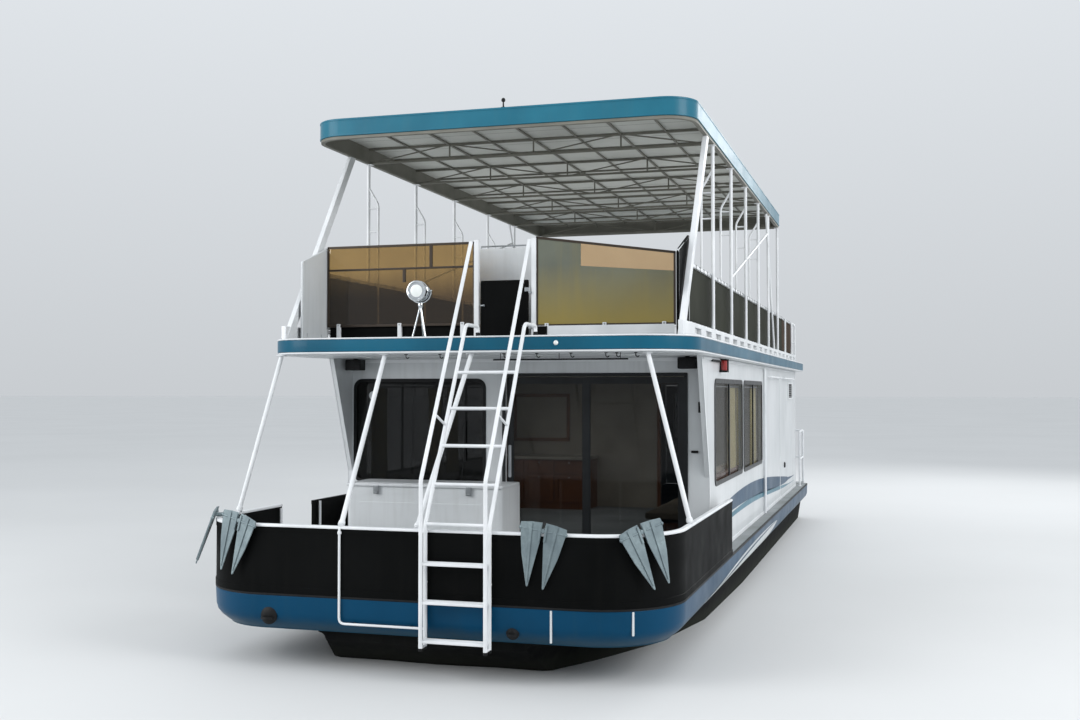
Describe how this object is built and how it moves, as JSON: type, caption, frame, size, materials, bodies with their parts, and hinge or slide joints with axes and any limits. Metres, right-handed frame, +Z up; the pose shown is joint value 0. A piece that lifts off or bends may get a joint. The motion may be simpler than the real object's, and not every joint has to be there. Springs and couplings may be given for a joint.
{
  "type": "houseboat",
  "caption": "Lake houseboat with a cabin, an open upper deck under a canopy, a bow ladder and twin outboard engines.",
  "frame": {"origin": "on the waterline, amidships, on the centreline", "axes": "+Y towards the stern, +X to port, +Z up; the bow faces -Y"},
  "size_m": [4.4017, 15.387, 6],
  "materials": {
    "bottom_paint": "dark bottom paint on steel, matt",
    "blue_gelcoat": "deep blue enamel, glossy, a little chalked",
    "deck_coat": "grey non-skid deck coating",
    "black_panel": "black laminate panel, satin",
    "white_tube": "white powder-coated tube",
    "white_panel": "white laminated panel, satin",
    "window_glass": "dark tinted window glass",
    "door_frame": "dark anodised frame with tinted glass",
    "locker_shell": "white moulded laminate",
    "chrome": "polished chrome",
    "cabin_wood": "varnished wood panelling",
    "sofa_fabric": "woven upholstery",
    "teal_paint": "teal enamel, satin",
    "smoked_acrylic": "smoked brown acrylic",
    "rail_cloth": "woven screen cloth",
    "canopy_frame": "grey aluminium frame",
    "canopy_skin": "coated canopy cloth",
    "galvanised": "hot-dip galvanised steel",
    "pod_paint": "white enamel on steel",
    "engine_paint": "grey engine enamel on aluminium castings",
    "engine_cowl": "moulded engine cover, glossy",
    "propeller_metal": "painted aluminium propeller"
  },
  "bodies": {
    "boat": {"hull_bottom": "bottom_paint", "hull_topsides": "blue_gelcoat", "main_deck": "deck_coat", "bow_bulwark": "black_panel", "bow_bulwark_side": "black_panel", "bow_rail": "white_tube", "cabin_front_wall": "white_panel", "cabin_port_wall": "white_panel", "cabin_stbd_wall": "white_panel", "cabin_stern_wall": "white_panel", "helm_window": "window_glass", "port_windows": "window_glass", "stbd_windows": "window_glass", "patio_door_fixed": "door_frame", "bow_locker": "locker_shell", "helm_console": "locker_shell", "saloon_bulkhead": "cabin_wood", "galley_counter": "cabin_wood", "saloon_sofa": "sofa_fabric", "upper_deck": "white_panel", "upper_fascia": "teal_paint", "bow_strut_1": "white_tube", "bow_strut_2": "white_tube", "bow_strut_3": "white_tube", "bow_strut_4": "white_tube", "bow_ladder": "white_tube", "windscreen_stbd": "smoked_acrylic", "windscreen_port": "smoked_acrylic", "screen_wing_port": "white_panel", "screen_wing_stbd": "white_panel", "fly_console": "locker_shell", "side_frame_port": "white_tube", "side_frame_stbd": "white_tube", "rail_cloth_port": "rail_cloth", "rail_cloth_stbd": "rail_cloth", "upper_stern_rail": "white_tube", "canopy_frame": "canopy_frame", "canopy_fascia": "teal_paint", "canopy_roof": "canopy_skin", "anchor_1": "galvanised", "anchor_2": "galvanised", "anchor_3": "galvanised", "anchor_4": "galvanised", "searchlight": "chrome", "stern_rail": "white_tube", "stern_ladder": "white_tube", "engine_pod": "pod_paint"},
    "patio_door": {"patio_door_sliding": "door_frame"},
    "locker_lid": {"bow_locker_lid": "locker_shell"},
    "upper_gate": {"upper_gate": "black_panel"},
    "stern_door": {"stern_door": "white_panel"},
    "helm_wheel": {"helm_wheel": "chrome"},
    "tilt_port": {"engine_swivel_port": "engine_paint"},
    "engine_port": {"engine_leg_port": "engine_paint", "engine_cowl_port": "engine_cowl"},
    "propeller_port": {"propeller_port": "propeller_metal"},
    "tilt_stbd": {"engine_swivel_stbd": "engine_paint"},
    "engine_stbd": {"engine_leg_stbd": "engine_paint", "engine_cowl_stbd": "engine_cowl"},
    "propeller_stbd": {"propeller_stbd": "propeller_metal"}
  },
  "joints": [
    {"name": "patio_door_slide", "type": "slide", "parent": "boat", "child": "patio_door", "axis": [1, 0, 0], "range_m": [0, 0.85]},
    {"name": "locker_lid_hinge", "type": "hinge", "parent": "boat", "child": "locker_lid", "pos_m": [-0.845, -4.4013, 1.4], "axis": [-1, 0, 0], "range_deg": [0, 85]},
    {"name": "upper_gate_hinge", "type": "hinge", "parent": "boat", "child": "upper_gate", "pos_m": [0.33, -5.123, 3.2], "axis": [0, 0, 1], "range_deg": [0, 105]},
    {"name": "stern_door_hinge", "type": "hinge", "parent": "boat", "child": "stern_door", "pos_m": [-0.37, 5.712, 1.5], "axis": [0, 0, 1], "range_deg": [0, 100]},
    {"name": "tilt_port", "type": "hinge", "parent": "boat", "child": "tilt_port", "pos_m": [0.55, 7.33, 0.2], "axis": [1, 0, 0], "range_deg": [0, 65]},
    {"name": "steer_port", "type": "hinge", "parent": "tilt_port", "child": "engine_port", "pos_m": [0.55, 7.43, 0], "axis": [0, 0, 1], "range_deg": [-30, 30]},
    {"name": "propeller_spin_port", "type": "hinge", "parent": "engine_port", "child": "propeller_port", "pos_m": [0.55, 7.76, -0.65], "axis": [0, 1, 0], "continuous": true},
    {"name": "tilt_stbd", "type": "hinge", "parent": "boat", "child": "tilt_stbd", "pos_m": [-0.55, 7.33, 0.2], "axis": [1, 0, 0], "range_deg": [0, 65]},
    {"name": "steer_stbd", "type": "hinge", "parent": "tilt_stbd", "child": "engine_stbd", "pos_m": [-0.55, 7.43, 0], "axis": [0, 0, 1], "range_deg": [-30, 30]},
    {"name": "propeller_spin_stbd", "type": "hinge", "parent": "engine_stbd", "child": "propeller_stbd", "pos_m": [-0.55, 7.76, -0.65], "axis": [0, 1, 0], "continuous": true},
    {"name": "helm_wheel_turn", "type": "hinge", "parent": "boat", "child": "helm_wheel", "pos_m": [-1.25, -3.78, 1.18], "axis": [0, -1, 0], "range_deg": [-540, 540]}
  ],
  "couplings": [
    {"joint": "steer_stbd", "follows": "steer_port", "ratio": 1},
    {"joint": "helm_wheel_turn", "follows": "steer_port", "ratio": 17.9}
  ]
}
